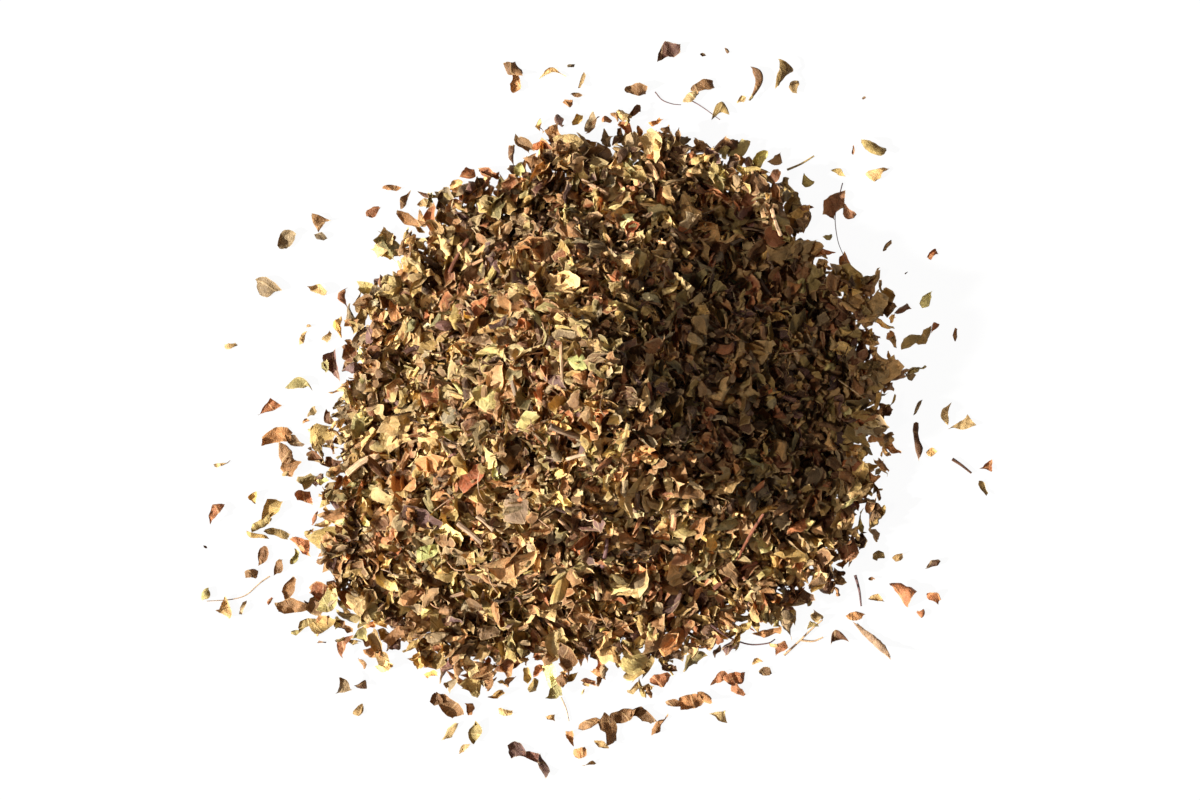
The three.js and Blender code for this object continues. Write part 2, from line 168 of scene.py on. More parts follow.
# Colours of the crumbs, and how common each is.
TINTS = {
    "olive": ((0.68, 0.57, 0.34), 23),
    "tan": ((0.79, 0.65, 0.43), 21),
    "brown": ((0.60, 0.43, 0.27), 27),
    "dark": ((0.36, 0.23, 0.14), 8),
    "russet": ((0.64, 0.40, 0.25), 7),
    "green": ((0.69, 0.62, 0.38), 4),
    "grey": ((0.59, 0.50, 0.37), 8),
    "purple": ((0.42, 0.29, 0.26), 3),
}

# Colours of the larger leaves, the stems and the flower cups.
OTHER_TINTS = {
    "stem": (0.66, 0.52, 0.38),
    "calyx": (0.70, 0.58, 0.42),
    "pale_green": (0.72, 0.72, 0.44),
    "yellow": (0.78, 0.67, 0.45),
    "pinkish": (0.82, 0.64, 0.44),
    "orange": (0.82, 0.56, 0.33),
    "red": (0.68, 0.37, 0.22),
    "plum": (0.40, 0.27, 0.25),
    "ash": (0.60, 0.49, 0.38),
    "sand": (0.80, 0.66, 0.50),
    "rust": (0.50, 0.28, 0.16),
}

# Colours of the veins and of the painted highlight on the torn margins, of the dark spots, and of the crumbs
# further in.
PALE_VEIN_AND_RIM_HIGHLIGHT = (0.86, 0.75, 0.54)
DARK_SPOT = (0.30, 0.19, 0.10)
# Painted shade: the crumbs further in are much darker than the tints, for the shade deep between the crumbs.
SHADED_INNER_DARK = (0.20, 0.13, 0.08)
SHADED_INNER_LIGHT = (0.40, 0.28, 0.17)

# How much crumbs of one tint differ in lightness, and in warmth by a share of that.
CRUMB_SHADE = 0.16
LOOSE_SHADE = 0.12
SINGLE_SHADE = 0.04
WARMTH_SHARE = 0.22

# How rough the faces are, and how strongly the veins and the dark spots show.
LEAF_ROUGH = 0.62
STEM_ROUGH = 0.6
VEINS = 0.5
SPOTS = 0.5

# Dried leaf lets this share of the light through, and turns it orange.
THROUGH_SHARE = 0.1
THROUGH_COLOUR = (1.0, 0.6, 0.3, 1.0)

# Larger leaves on the heap: the colour, the outline, the place as seen on the surface, the length, the width
# and the turn in degrees.
LEAVES_ON_HEAP = [
    ("pale_green", "oval", -4.6, 9.6, 4.8, 3.6, -20),
    ("yellow", "oval", -16.4, 11, 5.8, 5, 30),
    ("plum", "shard", -35.5, -21.5, 8.4, 4.4, -20),
    ("red", "shard", -25.5, -13.4, 6, 4.6, 60),
    ("pinkish", "shard", -17.4, -30.4, 11.5, 6, -6),
    ("yellow", "oval", -8.6, -45.8, 5.4, 4, 80),
    ("tan", "shard", 38, 31.6, 9.6, 4.4, 15),
    ("olive", "shard", -41.6, -5.4, 6.6, 4.8, 40),
    ("yellow", "shard", -44, -16.8, 4.8, 4.4, 20),
    ("orange", "oval", 14.4, -46, 6, 5, 70),
    ("orange", "shard", 3.4, -44, 5.6, 3.2, 5),
    ("tan", "shard", 18.4, 14.4, 5, 3, -25),
    ("red", "shard", 6.4, 36, 3.8, 3.2, 40),
    ("olive", "shard", 7, 46.6, 4.8, 3.6, -20),
    ("yellow", "shard", -6.4, 53, 4.8, 4, 30),
    ("orange", "triangle", 38, 23.8, 3.4, 2.2, 60),
    ("pale_green", "shard", -34, -27.8, 5.4, 4.2, 10),
    ("ash", "shard", -17, -19.6, 6, 5, 70),
    ("pinkish", "shard", -20.5, 6.5, 6.2, 4.4, 75),
    ("yellow", "triangle", -22.4, -9, 5.6, 2.6, -60),
]

# Pieces of stem on the heap: the colour, the place, the length, the thickness and the turn.
STEMS_ON_HEAP = [
    ("sand", -47, -10.6, 9.4, 1.6, 28),
    ("ash", -7, -4.3, 8.2, 1.3, -37),
    ("ash", -25.8, -24.4, 7.6, 1.2, -38),
    ("plum", 1, -28.4, 7.2, 0.9, 88),
    ("sand", -0.6, -35.8, 6.4, 1, 94),
    ("rust", -28, 30.6, 9.4, 0.9, 62),
    ("sand", -4.8, -9.3, 5.4, 0.7, 11),
    ("olive", 4.9, -5.4, 8, 1.2, 74),
    ("rust", 26.8, -32.7, 12.6, 1, 29),
    ("rust", 29.6, -25.3, 18, 0.6, 68),
    ("sand", -7.6, 9.3, 8.8, 0.8, -87),
    ("sand", -0.9, 44.2, 7.6, 0.8, -31),
    ("pinkish", 10.5, 47.5, 5.4, 1, -57),
    ("sand", 34.7, 37, 7, 0.8, -72),
]

# The solids that the first rows of both tables stand for.
SOLIDS = {
    "single_leaf": ("pale_green_leaf", "yellow_leaf", "purple_leaf", "red_brown_leaf", "large_tan_leaf",
                    "golden_leaf", "right_flank_leaf", "grey_olive_leaf"),
    "single_stem": ("pale_stem", "grey_stem_middle", "grey_stem_low", "brown_stem_low", "tan_stem_low",
                    "brown_stem_high"),
}

# Thin stalks: the colour, the thickness, and the places that each passes over.
STALKS = [
    ("sand", 0.35, [(17.4, 0), (18, -3.4), (17, -6.3), (15.6, -5.3), (16.3, -2.3)]),
    ("sand", 0.3, [(-66, -33.2), (-68, -34.6), (-70.8, -37), (-74, -37.9), (-78.6, -38.2)]),
    ("plum", 0.22, [(48.5, 45.4), (47.4, 41), (47, 38), (47.6, 33.6), (49, 29.2)]),
    ("olive", 0.5, [(37.4, 48), (40.2, 49.2), (42.8, 50.8)]),
    ("plum", 0.25, [(11, 63.6), (12.4, 62), (14.4, 61.2), (16.2, 61)]),
    ("plum", 0.4, [(22, -42.6), (25.2, -44.8), (29.6, -46.8), (33.4, -46.6), (35, -45.8)]),
    ("plum", 0.25, [(18, 62), (20.4, 60.6), (24, 58)]),
    ("plum", 0.6, [(51, -33), (51.8, -36), (52.2, -39.2)]),
    ("dark", 0.7, [(70.4, -9.8), (72.2, -11), (74.2, -12.6)]),
    ("sand", 0.5, [(36.8, -49), (39.4, -46.6), (42.2, -43.8), (44.4, -41.8)]),
    ("sand", 0.5, [(40.2, -46), (42.6, -46.2), (44.6, -45.4)]),
    ("sand", 0.3, [(-7.8, -57.4), (-6.8, -59.6), (-6.2, -62.2)]),
]

# Crumbs on the surface, as in the solids: a tint and the crumbs of one piece, each with its middle, its
# length and width, its turn in degrees, and its outline if that isn't a shard.
LOOSE = [
    ("grey", (-62.6, 34, 4, 3.6, 20, "oval")),
    ("grey", (-66.6, 24.4, 4.4, 3.6, -15, "oval")),
    ("tan", (-56.4, 24, 3.2, 2.8, 10)),
    ("brown", (-56.2, 37.2, 3.2, 2.4, 75, "triangle")),
    ("green", (-60.2, 5, 4.8, 2.2, -15, "crescent")),
    ("purple", (-53.6, 9.4, 5, 3.4, 80)),
    ("russet", (-66.4, 0.4, 4, 2.2, 35, "triangle")),
    ("brown", (-64.6, -5.4, 6, 3.2, -5), (-60.9, -6.2, 3.8, 2.2, -50), (-63, -9, 4.6, 3, 80),
     (-61.8, -11.4, 3.8, 3.2, 60)),
    ("russet", (-76.8, -20.4, 4, 2, 80, "triangle")),
    ("olive", (-65.8, -20.2, 5.4, 3.4, 62), (-67.6, -22.6, 4.6, 2.4, 50),
     (-64.6, -24.6, 5, 1.5, -12, "strip"), (-68.6, -25, 4.8, 1.2, -14, "strip"),
     (-69.2, -17.8, 2.4, 1.6, 110, "triangle")),
    ("brown", (-67.4, -29, 4, 2.4, 60, "oval")),
    ("green", (-78.8, -36.8, 2.6, 2.1, 70, "oval")),
    ("tan", (-74.8, -39.2, 3.6, 2.6, -110, "triangle")),
    ("brown", (-62, -35.8, 4.6, 2.6, -80), (-61.6, -39.2, 5.6, 4, 30)),
    ("olive", (-58.6, -42.8, 3.6, 2.4, 10), (-55.2, -42.6, 5, 4, 40)),
    ("russet", (-51, -47, 4.8, 2, 70, "crescent")),
    ("tan", (-44.6, -46.4, 5, 3.4, -60), (-43.4, -49.6, 4.4, 2.2, -65, "oval")),
    ("grey", (-51.2, -54.8, 3.4, 2.6, -60, "triangle")),
    ("tan", (-48.2, -60, 2.6, 1.7, 40, "oval")),
    ("brown", (-30.2, -58.8, 5.8, 4, -60), (-32.6, -57.8, 2.6, 2.2, 0)),
    ("olive", (-25, -64.4, 4.4, 2.6, -80, "oval")),
    ("tan", (-29.8, -64.2, 4.2, 1.6, 60, "strip")),
    ("purple", (-16.6, -68, 3.6, 3, 0), (-13.8, -69.2, 4.2, 2.2, -20), (-11.4, -71, 4.4, 1.8, -60)),
    ("brown", (-2, -62.6, 4.8, 2, 10), (1.6, -63.8, 5.6, 3.6, -70), (4.4, -61, 5.2, 3.8, 40),
     (8.8, -61, 5.4, 2.8, -30), (11.8, -63, 3.8, 2.6, 70)),
    ("russet", (12, -53.6, 4.4, 3.2, 20)),
    ("brown", (15, -58.6, 3.4, 1.8, 10), (18, -58.2, 4.8, 3.4, 30), (20.8, -57.4, 3, 2.4, 0)),
    ("russet", (24.2, -53.4, 3.6, 2.8, 0), (27, -53.6, 3.8, 3.2, 40), (27.6, -56, 3.2, 2, -60)),
    ("dark", (47.6, -45.6, 3.4, 2.4, 20, "crescent")),
    ("stem", (54.4, -45.8, 10, 1.7, -46, "strip")),
    ("russet", (60, -36, 5, 4, -30, "triangle")),
    ("dark", (66.4, -30.8, 2.9, 1.8, 20)),
    ("tan", (76.6, -15.6, 3, 1.6, -85)),
    ("russet", (77, -11.4, 2.9, 1.6, 20, "triangle")),
    ("dark", (63.4, -6, 7, 1.9, -80, "strip")),
    ("tan", (72.2, -3, 4.6, 1.8, 30, "triangle")),
    ("olive", (62, 13.8, 4.4, 3, 50), (64.8, 14.6, 3.8, 2.6, 30)),
    ("tan", (65.2, 22, 3.2, 2.6, 30)),
    ("olive", (54.4, 52.2, 5.2, 3.2, -42)),
    ("russet", (47, 41, 4.8, 3.6, 30), (49.6, 39.4, 3.2, 2, -30)),
    ("brown", (31, 66, 5.4, 2.4, -70, "crescent")),
    ("purple", (13.8, 71.8, 4.8, 3.8, 0)),
    ("brown", (-17, 68, 3.8, 3, -45), (-17, 65.2, 3.2, 2.6, 60)),
]

# A loose crumb is this much lighter than its tint, because the low light only grazes it.
LOOSE_LIGHTER = 1.02

# Smaller crumbs on the surface, written the same way.
SMALL_LOOSE = [
    ("grey", (-55.8, 34.6, 2.4, 1.6, 0)), ("russet", (-51.2, 22.6, 3.6, 1.8, 80, "crescent")),
    ("brown", (-46.8, 21.6, 3.4, 3, 60)), ("tan", (-73.8, 12.8, 2.4, 1.1, 10, "strip")),
    ("tan", (-59.4, 14.4, 2.8, 1, 70, "strip")), ("tan", (-58.2, 16.8, 0.9, 0.7, 0)),
    ("green", (-54.8, 8.8, 2.4, 1.5, 80, "oval")), ("tan", (-54.4, 14.6, 2, 1.4, 30)),
    ("tan", (-75.6, -10.8, 3, 1, 0, "strip")), ("tan", (-62.6, -12.8, 1.6, 1.4, 0)),
    ("brown", (-64.2, -31.4, 3, 2, 50, "oval")), ("brown", (-69.6, -32.6, 2.6, 2.1, 10)),
    ("grey", (-71.4, -39.6, 2.8, 1.4, 65, "strip")), ("russet", (-66, -38.2, 1.5, 1.1, 80)),
    ("dark", (-78.9, -27.4, 0.6, 0.5, 0)), ("brown", (-57.6, -24.2, 0.8, 0.7, 0)),
    ("green", (-61, -44.4, 1.8, 1.3, 20)), ("brown", (-55.6, -46.4, 1.6, 0.8, -10, "strip")),
    ("brown", (-47.4, -50.6, 2.4, 1.6, -70)), ("dark", (-47.8, -54.9, 2.4, 1.5, 0, "triangle")),
    ("tan", (-18.8, -60.4, 2.8, 1.4, 10)), ("tan", (-27.2, -67.6, 2.3, 1.2, 20, "strip")),
    ("brown", (-26, -59.8, 2.4, 2, 80)), ("tan", (-9.8, -61.4, 1.8, 1.5, 0)),
    ("green", (-9.2, -56.2, 4, 2.2, 30, "triangle")), ("brown", (-6, -65.2, 2.6, 2, 70)),
    ("brown", (-4, -68.4, 2.8, 2.2, 20)), ("tan", (-2.2, -70.6, 2.6, 0.9, 15, "strip")),
    ("tan", (0.2, -66.6, 2.8, 1.6, 0)), ("tan", (-2.8, -54.8, 1.5, 0.8, 0, "strip")),
    ("brown", (9.8, -56.4, 2.4, 1.6, -60)), ("tan", (23.6, -61, 3.2, 1.8, -10, "triangle")),
    ("tan", (31.4, -50.2, 2, 1.2, 20)), ("brown", (33, -52.4, 2.4, 1.6, -20)),
    ("russet", (36, -47.4, 2.8, 2.4, 30)), ("brown", (51, -41.2, 3.4, 1.8, 10)),
    ("tan", (55.2, -37.6, 2.8, 1.6, -10)), ("russet", (64, -40.6, 1.7, 1.5, 0)),
    ("russet", (66.6, -37.4, 2.6, 2.2, 0)), ("tan", (59.6, -29.4, 2, 1.9, 0, "oval")),
    ("olive", (55.6, -29.2, 2.4, 2.1, 40)), ("tan", (66.2, -8.4, 1.9, 1.7, 0, "oval")),
    ("tan", (69.2, -0.8, 4.2, 1.4, 80, "crescent")), ("grey", (63.4, 0.6, 3.4, 0.7, 60, "strip")),
    ("brown", (71, 15, 2.8, 1.1, 75, "strip")), ("russet", (66.6, 16.4, 2.4, 1.1, 50, "triangle")),
    ("tan", (61.6, 6.8, 2, 1.9, 0)), ("russet", (66.4, 31.2, 2.1, 1.9, 30)),
    ("grey", (57.4, 32.8, 2.4, 1, 45, "strip")), ("dark", (61.2, 27.4, 0.7, 0.6, 0)),
    ("tan", (55.2, 47.2, 3.2, 3, 70)), ("russet", (50.6, 52, 1.7, 0.6, 85, "strip")),
    ("olive", (47.6, 47.6, 2.4, 1.9, 0)), ("green", (41.2, 46, 3.2, 2.2, -60, "triangle")),
    ("grey", (35.2, 50, 2.8, 2.4, 30)), ("green", (45.6, 34.6, 1.8, 1.2, 0)),
    ("russet", (44.8, 31.6, 3.4, 1.8, -15)), ("brown", (40.8, 40.2, 2.8, 1.4, 15)),
    ("olive", (36.2, 66.8, 5.2, 2.4, 45, "triangle")), ("tan", (38.8, 64.6, 2.6, 1.7, 80)),
    ("green", (30.2, 62.4, 1.5, 0.8, 60, "strip")), ("tan", (28.2, 62, 1.6, 1.4, 0)),
    ("dark", (20.6, 71, 1, 0.8, 0)), ("dark", (25.4, 71.8, 1, 0.9, 0)),
    ("dark", (52.8, 62.4, 0.7, 0.6, 0)), ("brown", (20.6, 64.6, 4.4, 2.2, 25)),
    ("tan", (18.2, 62.6, 3.2, 2.4, 60)), ("olive", (24, 59.6, 3.6, 2.8, 0, "crescent")),
    ("brown", (7.2, 63.8, 4, 2.5, 20)), ("russet", (1.4, 58, 2, 1.7, 0)),
    ("grey", (-2, 57, 4.2, 1.8, 70, "strip")), ("brown", (-6.4, 61.4, 2.4, 2, 0)),
    ("brown", (-4.8, 63, 2, 1.4, 20)), ("tan", (-3.6, 65.6, 3.2, 1, 80, "strip")),
    ("grey", (-5.8, 68.8, 1.6, 0.7, 0, "strip")), ("tan", (-9.6, 67.4, 4.4, 1.6, 10, "crescent")),
    ("tan", (-12.2, 57, 2.2, 1.5, 70)), ("russet", (-12, 52.6, 2.8, 2.3, 0)),
    ("tan", (-28.6, 44.8, 2.8, 2.6, 20)), ("russet", (-26.4, 47.2, 2.8, 2.5, 50)),
    ("dark", (-34.8, 42.8, 2.8, 1.1, 0, "strip")), ("tan", (-34.6, 41, 3.2, 1.5, 10)),
    ("brown", (-39, 42, 3.4, 1.4, 80, "strip")), ("brown", (-41.8, 44.4, 3.4, 1.3, -5, "strip")),
    ("brown", (-38, 38, 6, 2.2, -20)), ("russet", (-45.2, 39.6, 2.8, 2.2, 60)),
    ("tan", (-43.2, 33.4, 5.4, 3.6, 75)),
]


# The heap's form

def smooth_curve(knots, steps):
    """Points on a smooth curve from the second knot to the last but one, in steps between two knots."""
    places = []
    for before, start, end, after in zip(knots, knots[1:], knots[2:], knots[3:]):
        for t in np.arange(steps) / steps:
            places.append(0.5 * (
                2 * start + (end - before) * t
                + (2 * before - 5 * start + 4 * end - after) * t**2
                + (3 * start - before - 3 * end + after) * t**3
            ))
    return places


rim_knots = np.array(RIM[-1:] + RIM + RIM[:2], float)
rim_across, rim_away = (np.array(smooth_curve(rim_knots, 8)) - PEAK).T
rim_angles = np.arctan2(rim_away, rim_across)
rim_radii = np.hypot(rim_across, rim_away)


def rim_radius(angle):
    """How far the outline is from the peak in a direction."""
    return np.interp(angle, rim_angles, rim_radii, period=math.tau)


def heap_height(x, y, inset=RIM_INSET):
    """The mound's height over a place, and 0 outside its rim."""
    across = x - PEAK[0]
    away = y - PEAK[1]
    heading = np.arctan2(away, across)
    share = np.hypot(across, away) / (rim_radius(heading) - inset)
    down = np.minimum(share / CONE_SHARE, 1)
    along_crest = np.cos(heading - CREST_HEADING) * (CREST_FALL + (1 - CREST_FALL) * down)
    down = down * np.hypot(np.sin(heading - CREST_HEADING), along_crest)
    full = math.hypot(1, PEAK_ROUNDING) - PEAK_ROUNDING
    fallen = (np.hypot(down, PEAK_ROUNDING) - PEAK_ROUNDING) / full
    cone = HEAP_HEIGHT - (HEAP_HEIGHT - LAYER_HEIGHT) * fallen
    layer = LAYER_HEIGHT - (LAYER_HEIGHT - FOOT_HEIGHT) * (share - CONE_SHARE) / (1 - CONE_SHARE)
    wave = np.sin(x / LUMP_LENGTH * 2.1 + 0.6) * np.cos(y / LUMP_LENGTH * 1.7 - 0.4)
    wave = wave + 0.6 * np.sin((x + y) / LUMP_LENGTH * 3.1)
    lumps = LUMP_HEIGHT * wave * (1 - share**2)
    height = np.where(share < CONE_SHARE, cone, layer) + lumps
    return np.where(share < 1, height, 0.0)


def clumped_height(x, y):
    """The height of the crumbs over a place, and 0 outside the mound's rim."""
    clump = 0.0
    for length, heading in zip(CLUMP_LENGTHS, CLUMP_HEADINGS):
        turn = math.radians(heading)
        ahead = (x * math.cos(turn) + y * math.sin(turn)) / length
        beside = (y * math.cos(turn) - x * math.sin(turn)) / length
        clump = clump + np.sin(math.tau * ahead + 0.1 * heading) * np.cos(1.3 * math.pi * beside)
    height = heap_height(x, y)
    return np.where(height > 0, height + CLUMP_HEIGHT * clump * np.clip(height / 8, 0, 1), 0.0)


def heap_normal(x, y):
    """Which way the clumped heap faces at a place."""
    step = 1.0
    along = (clumped_height(x + step, y) - clumped_height(x - step, y)) / (2 * step)
    away = (clumped_height(x, y + step) - clumped_height(x, y - step)) / (2 * step)
    normal = np.array([-along, -away, 1.0])
    return normal / np.linalg.norm(normal)


# Shapes of the crumbs, each a grid of points round its own middle

def spread(low, high, count):
    """A random number for each crumb, shaped to go with a grid of points."""
    return DRAW.uniform(low, high, (count, 1, 1))


def either_way(low, high, count):
    """A random number for each crumb, as often above 0 as below it."""
    return spread(low, high, count) * DRAW.choice((-1, 1), (count, 1, 1))


def rolled(flat, height, turn, size):
    """A coordinate and a height wrapped round a cylinder: turn is the angle that size takes up."""
    curvature = turn / size
    curvature = np.where(np.abs(curvature) < 1e-3, 1e-3, curvature)
    radius = 1 / curvature - height
    return radius * np.sin(flat * curvature), 1 / curvature - radius * np.cos(flat * curvature)


def centred(x, y, z):
    """The points of each crumb, with their middle at the origin."""
    points = np.stack([x, y, z], axis=-1)
    return points - points.mean(axis=(1, 2), keepdims=True)


def torn_margins(count, along, narrowing):
    """How wide both sides of each crumb are along it: straight between torn corners."""
    first = DRAW.uniform(-0.75, -0.1, (count, 1, 2))
    second = DRAW.uniform(0.0, 0.7, (count, 1, 2))
    sizes = DRAW.uniform(0.55, 1.15, (count, 1, 2, 4))
    sizes[..., [0, 3]] *= 1 - DRAW.uniform(*narrowing, (count, 1, 2, 2))
    half = sizes[..., 0]
    for i, (start, end) in enumerate(((-1.0, first), (first, second), (second, 1.0))):
        share = np.clip((along - start) / (end - start), 0, 1)
        half = half + (sizes[..., i + 1] - sizes[..., i]) * share
    return half


def round_margins(count, along, narrowing):
    """How wide both sides of each crumb are along it: one smooth curve."""
    half = 1 - spread(*narrowing, count) * np.abs(along) ** spread(1.6, 3, count)
    return np.broadcast_to(half, (count, along.shape[1], 2))


def sheets(length, width, rows, columns, narrowing, taper, roll, bend, twist, crumple, jag=0.05,
           lifted=(0.0, 0.2), margins=torn_margins):
    """Crumpled fragments of leaf blade, one for each length.

    Each range is two numbers: how much the ends narrow, how much one end is wider, the turn of the roll
    from margin to margin and of the bend from end to end, the twist, the steepness of the folds, and how
    far the margins turn up, as a share of the width. jag is how ragged the margins are.
    """
    count = len(length)
    length = length.reshape(count, 1, 1)
    width = width.reshape(count, 1, 1)
    along = np.linspace(-1, 1, rows).reshape(1, rows, 1)
    across = np.linspace(-1, 1, columns).reshape(1, 1, columns)
    half = margins(count, along, narrowing) * (1 + spread(*taper, count) * along)
    half = np.maximum(half * (1 + jag * DRAW.uniform(-1, 1, (count, rows, 2))), 0.04)
    half = np.where(across > 0, half[:, :, :1], half[:, :, 1:])
    slant = np.where(along > 0, spread(-0.32, 0.32, count), spread(-0.32, 0.32, count))
    cut = slant * across + 0.7 * jag * DRAW.uniform(-1, 1, (count, 1, columns))
    x = (along + cut * along**2) * length / 2
    y = across * half * width / 2
    y = y + width * (spread(-0.25, 0.25, count) * along**2 + spread(-0.3, 0.3, count) * along)
    z = np.zeros((count, rows, columns))
    for wave_length in (1.5, 2.5, 4.5):
        heading = spread(0, math.pi, count)
        phase = spread(0, math.tau, count)
        ripple = (x * np.cos(heading) + y * np.sin(heading)) * math.tau / wave_length
        fold = np.arcsin(np.sin(ripple + phase)) / (math.pi / 2)
        z = z + spread(*crumple, count) * wave_length / 4 * fold
    lift = np.where(across > 0, spread(*lifted, count), spread(*lifted, count)) * np.abs(across) ** 3
    z = z + width * lift * DRAW.choice((-1, 1), (count, 1, 1))
    x = np.broadcast_to(x, z.shape)
    y, z = rolled(y, z, either_way(*roll, count), width)
    x, z = rolled(x, z, either_way(*bend, count), length)
    turn = either_way(*twist, count) * x / length
    y, z = y * np.cos(turn) - z * np.sin(turn), y * np.sin(turn) + z * np.cos(turn)
    return centred(x, y, z)


def shards(length, width, rows=8, columns=6, curl=1.0):
    """Torn bits of blade: flat or cupped, with ragged margins."""
    return sheets(length, width, rows, columns, narrowing=(0.1, 0.95), taper=(-0.5, 0.5), jag=0.1,
                  roll=(0.5 * curl, 2.6 * curl), bend=(0.3 * curl, 2.1 * curl), twist=(0.2, 1.4),
                  crumple=(0.2, 0.68), lifted=(0.05, 0.5))


def rolls(length, width):
    """Bits of blade that curled up along their length as they dried."""
    return sheets(length, width, 8, 6, narrowing=(0.1, 0.8), taper=(-0.5, 0.5), jag=0.12,
                  roll=(2.6, 5.2), bend=(0.0, 0.9), twist=(0.0, 0.9), crumple=(0.02, 0.12))


def tubes(length, radius, columns, sag, outline):
    """Round bits, one for each length: outline gives the radius as a share at each row."""
    count, rows = len(length), len(outline)
    length = length.reshape(count, 1, 1)
    radius = radius.reshape(count, 1, 1)
    along = np.linspace(-1, 1, rows).reshape(1, rows, 1)
    turn = np.arange(columns).reshape(1, 1, columns) * math.tau / columns
    ring = radius * outline.reshape(1, rows, 1) * (1 + 0.12 * DRAW.uniform(-1, 1, (count, 1, columns)))
    x = np.broadcast_to(along * length / 2, (count, rows, columns))
    y = ring * np.cos(turn)
    z = ring * np.sin(turn)
    x, z = rolled(x, z, spread(-sag, sag, count), length)
    y = y + spread(-0.06, 0.06, count) * length * np.sin(2.2 * along + spread(0, 6, count))
    return centred(x, y, z)


def stems(length, thickness):
    """Broken bits of stem with flat broken ends."""
    outline = np.linspace(1.0, 0.82, 9)
    outline[[0, -1]] = 0.02
    points = tubes(length, thickness / 2, 8, 0.35, outline)
    points[:, 0] = points[:, 0] * 0.25 + points[:, 1] * 0.75
    points[:, -1] = points[:, -1] * 0.25 + points[:, -2] * 0.75
    return points


def threads(length, thickness):
    """Thin leaf stalks, bent as they dried."""
    return tubes(length, thickness / 2, 5, 2.2, np.linspace(1.0, 0.5, 12))


def calyces(length):
    """Dried flower cups: a bell with a crumpled mouth of lobes."""
    columns = 10
    outline = np.array([0.18, 0.42, 0.78, 0.95, 1.0, 1.08, 1.25])
    points = tubes(length, length * 0.36, columns, 0.5, outline)
    lobes = np.cos(np.arange(columns) * math.pi)
    points[:, -1, :, 0] += 0.16 * length.reshape(-1, 1) * lobes
    points[..., 2] *= spread(0.35, 0.8, len(length))
    points += 0.12 * DRAW.uniform(-1, 1, points.shape)
    return points


OUTLINES = {
    "shard": dict(narrowing=(0.1, 0.85), taper=(-0.3, 0.3)),
    "triangle": dict(narrowing=(0.0, 0.2), taper=(0.85, 0.95)),
    "oval": dict(narrowing=(0.7, 0.95), taper=(-0.2, 0.2), margins=round_margins),
    "crescent": dict(narrowing=(0.85, 1.0), taper=(-0.2, 0.2), margins=round_margins),
    "strip": dict(narrowing=(0.2, 0.6), taper=(-0.2, 0.2), jag=0.06),
}


def single(outline, length, width, curl=1.0):
    """One larger crumb with a given outline, finely divided."""
    points = sheets(np.array([length]), np.array([width]), 14, 10, **OUTLINES[outline],
                    roll=(0.4 * curl, 1.7 * curl), bend=(0.2 * curl, 1.2 * curl), twist=(0.0, 0.8),
                    crumple=(0.08, 0.34))[0]
    if outline == "crescent":
        points[..., 1] += 0.5 * width * (0.5 - (2 * points[..., 0] / length) ** 2)
    return points


def strand(path, thickness, sides=6, steps=5):
    """A thin stalk through the places of a path, as a grid of rings."""
    knots = np.array(path, float)
    knots = np.concatenate([2 * knots[:1] - knots[1:2], knots, 2 * knots[-1:] - knots[-2:-1]])
    middle = np.array(smooth_curve(knots, steps) + [knots[-2]])
    middle[:, 2] = np.maximum(middle[:, 2], thickness / 2 + 0.05)
    ahead = np.gradient(middle, axis=0)
    ahead /= np.linalg.norm(ahead, axis=1, keepdims=True)
    side = np.cross(ahead, UP)
    side /= np.linalg.norm(side, axis=1, keepdims=True)
    over = np.cross(side, ahead)
    turn = np.arange(sides).reshape(1, sides, 1) * math.tau / sides
    radius = thickness / 2 * np.linspace(1.0, 0.6, len(middle)).reshape(-1, 1, 1)
    return middle[:, None] + radius * (np.cos(turn) * side[:, None] + np.sin(turn) * over[:, None])


# Turning and settling

def turned(normal, tilt, lean, spin):
    """The matrix that lays a crumb on a face with this normal, tilted about the heading lean."""
    def about(axis, angle):
        x, y, z = axis
        cross = np.array([[0, -z, y], [z, 0, -x], [-y, x, 0]])
        return np.eye(3) + math.sin(angle) * cross + (1 - math.cos(angle)) * cross @ cross
    flat = np.hypot(normal[0], normal[1])
    if flat < 1e-6:
        onto = np.eye(3)
    else:
        onto = about((-normal[1] / flat, normal[0] / flat, 0.0), math.atan2(flat, normal[2]))
    return onto @ about((math.cos(lean), math.sin(lean), 0.0), tilt) @ about(UP, spin)


cells = int(2 * HEIGHT_REACH / HEIGHT_CELL)
middles = (np.arange(cells) + 0.5) * HEIGHT_CELL - HEIGHT_REACH
goal = clumped_height(middles[:, None], middles[None, :])
filled = np.maximum(heap_height(middles[:, None], middles[None, :], MOUND_INSET) - CRUMBS_DEPTH, 0.0)
filled[goal <= 0] = 0.0
tops = filled.copy()


def cell_of(x, y):
    """Both numbers of the cell at a place."""
    return tuple(np.clip(((np.stack([x, y]) + HEIGHT_REACH) / HEIGHT_CELL).astype(int), 0, cells - 1))


def settled(points, x, y, matrix, share, raises=True, ground=filled):
    """A crumb turned and lowered at a place until it rests on the ground there.

    share is the part of its points that may be bedded among the crumbs below.
    """
    flat = points.reshape(-1, 3) @ matrix.T
    flat[:, :2] += x, y
    cell = cell_of(flat[:, 0], flat[:, 1])
    below = ground[cell] - flat[:, 2]
    flat[:, 2] += np.quantile(below, 1 - share)
    flat[:, 2] += max(OVER_SURFACE - flat[:, 2].min(), 0.0)
    if raises:
        higher = np.maximum(flat[:, 2] - filled[cell], 0.0)
        np.maximum.at(filled, cell, filled[cell] + SUPPORT * higher)
        np.maximum.at(tops, cell, flat[:, 2])
    return flat.reshape(points.shape)


